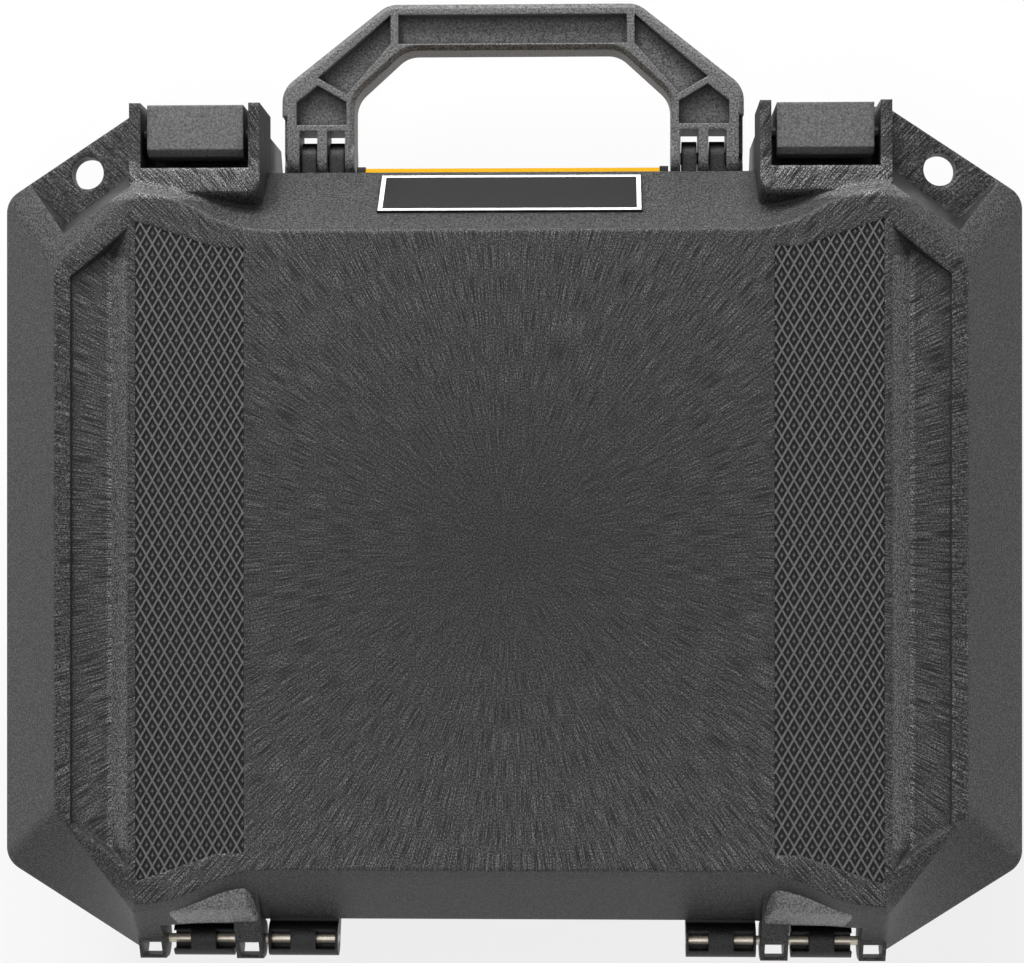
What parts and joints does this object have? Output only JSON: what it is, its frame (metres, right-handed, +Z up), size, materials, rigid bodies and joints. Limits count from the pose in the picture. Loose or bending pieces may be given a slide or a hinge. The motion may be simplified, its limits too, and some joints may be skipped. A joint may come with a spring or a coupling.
{
  "type": "hard carrying case",
  "caption": "Black moulded hard case lying flat: hinged lid with two grip strips, two swing-up latches with release buttons, folding carry handle and padlock ears.",
  "frame": {"origin": "centre of the flat underside of the base, on the surface the closed case lies on", "axes": "+X across the case, the user's right when the latches face them; +Z up through the lid; -Y out of the front, where the latches and handle are"},
  "size_m": [0.33, 0.312, 0.124],
  "materials": {
    "shell": "fine moulded grain",
    "fittings": "satin moulded",
    "label": "blank printed plate",
    "strip": "plain",
    "gasket": "matt",
    "pins": "bright drawn"
  },
  "bodies": {
    "base": {"base_shell": "shell", "front_strip": "strip", "hinge_pin_left": "pins", "hinge_pin_right": "pins", "handle_pin_left": "pins", "handle_pin_right": "pins"},
    "lid": {"lid_shell": "shell", "lid_gasket": "gasket", "front_label": "label", "latch_pin_left": "pins", "latch_pin_right": "pins"},
    "handle": {"carry_handle": "fittings"},
    "latch_left": {"latch_lever_left": "fittings", "button_retainer_left": "fittings", "button_spring_left": "pins"},
    "button_left": {"latch_button_left": "fittings"},
    "latch_right": {"latch_lever_right": "fittings", "button_retainer_right": "fittings", "button_spring_right": "pins"},
    "button_right": {"latch_button_right": "fittings"}
  },
  "joints": [
    {"name": "lid_hinge", "type": "hinge", "parent": "base", "child": "lid", "pos_m": [0, 0.1286, 0.088], "axis": [-1, 0, 0], "range_deg": [0, 105]},
    {"name": "handle_fold", "type": "hinge", "parent": "base", "child": "handle", "pos_m": [0, -0.1275, 0.076], "axis": [1, 0, 0], "range_deg": [0, 90]},
    {"name": "latch_swing_left", "type": "hinge", "parent": "lid", "child": "latch_left", "pos_m": [-0.09975, -0.131, 0.108], "axis": [-1, 0, 0], "range_deg": [0, 100]},
    {"name": "button_press_left", "type": "slide", "parent": "latch_left", "child": "button_left", "axis": [0, 1, 0], "range_m": [0, 0.0025], "stiffness_N_per_m": 800, "deforming": ["button_spring_left"]},
    {"name": "latch_swing_right", "type": "hinge", "parent": "lid", "child": "latch_right", "pos_m": [0.09975, -0.131, 0.108], "axis": [-1, 0, 0], "range_deg": [0, 100]},
    {"name": "button_press_right", "type": "slide", "parent": "latch_right", "child": "button_right", "axis": [0, 1, 0], "range_m": [0, 0.0025], "stiffness_N_per_m": 800, "deforming": ["button_spring_right"]}
  ]
}
